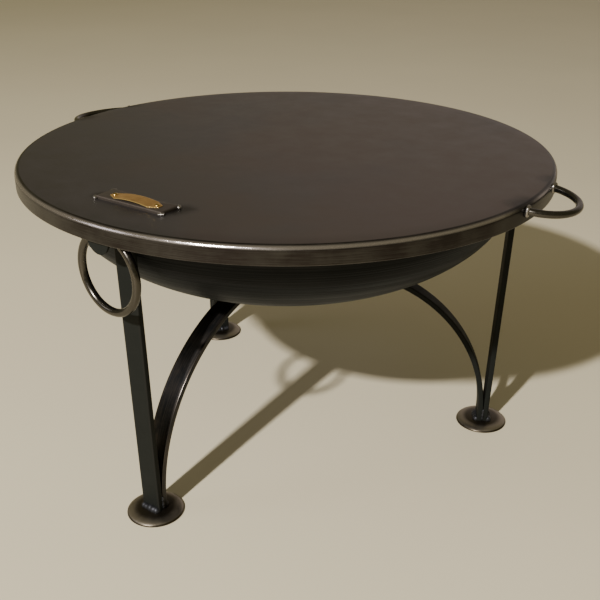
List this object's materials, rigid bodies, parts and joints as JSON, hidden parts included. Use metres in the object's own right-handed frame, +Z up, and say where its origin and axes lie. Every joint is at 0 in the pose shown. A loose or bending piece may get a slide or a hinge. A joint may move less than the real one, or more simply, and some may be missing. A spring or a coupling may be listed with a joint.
{
  "type": "fire pit with grate",
  "caption": "Round steel fire pit: a spun bowl on flat-bar legs with arched braces and disc feet, hanging drop rings, a lift-out grate and a flat table lid with bar handles.",
  "frame": {"origin": "on the ground under the bowl's axis", "axes": "+Z up, -Y towards the front leg, front drop ring and badge, +X towards the lid's right-hand handle"},
  "size_m": [0.8122, 0.72, 0.4294],
  "materials": {
    "spun_steel": "dark oiled mild steel, spun lines",
    "bar_steel": "dark oiled mild steel bar",
    "lid_steel": "brushed waxed mild steel, warm brown",
    "ring_steel": "bent round bar with silver and bronze tints",
    "weld_steel": "bright ground weld bead",
    "grate_steel": "dark round bar",
    "brass": "satin brass"
  },
  "bodies": {
    "pit": {"bowl": "spun_steel", "rim_ring": "spun_steel", "leg_front": "bar_steel", "brace_front": "bar_steel", "foot_front": "bar_steel", "leg_right": "bar_steel", "brace_right": "bar_steel", "foot_right": "bar_steel", "leg_left": "bar_steel", "brace_left": "bar_steel", "foot_left": "bar_steel", "foot_welds": "weld_steel", "leg_top_welds": "weld_steel", "brace_welds": "weld_steel", "ring_lug_front": "bar_steel", "ring_lug_back": "bar_steel"},
    "grate": {"grate_ring": "grate_steel", "grate_bars": "grate_steel", "grate_bearers": "grate_steel", "grate_handle_right": "grate_steel", "grate_handle_left": "grate_steel"},
    "lid": {"lid_handle_welds": "weld_steel", "plate_tacks": "weld_steel", "lid_top": "lid_steel", "lid_skirt": "lid_steel", "lid_handle_right": "ring_steel", "lid_handle_left": "ring_steel", "badge_plate": "lid_steel", "brass_badge": "brass", "badge_rivets": "brass"},
    "drop_ring_front": {"drop_ring_front": "ring_steel"},
    "drop_ring_back": {"drop_ring_back": "ring_steel"}
  },
  "joints": [
    {"name": "grate_lift", "type": "slide", "parent": "pit", "child": "grate", "axis": [0, 0, 1], "range_m": [0, 0.2]},
    {"name": "lid_lift", "type": "slide", "parent": "grate", "child": "lid", "axis": [0, 0, 1], "range_m": [0, 0.2]},
    {"name": "front_ring_swing", "type": "hinge", "parent": "pit", "child": "drop_ring_front", "pos_m": [0, -0.343, 0.403], "axis": [-0.9962, 0.0872, 0], "range_deg": [-11, 39]},
    {"name": "back_ring_swing", "type": "hinge", "parent": "pit", "child": "drop_ring_back", "pos_m": [0, 0.343, 0.403], "axis": [1, 0, 0], "range_deg": [-34, 47]}
  ]
}
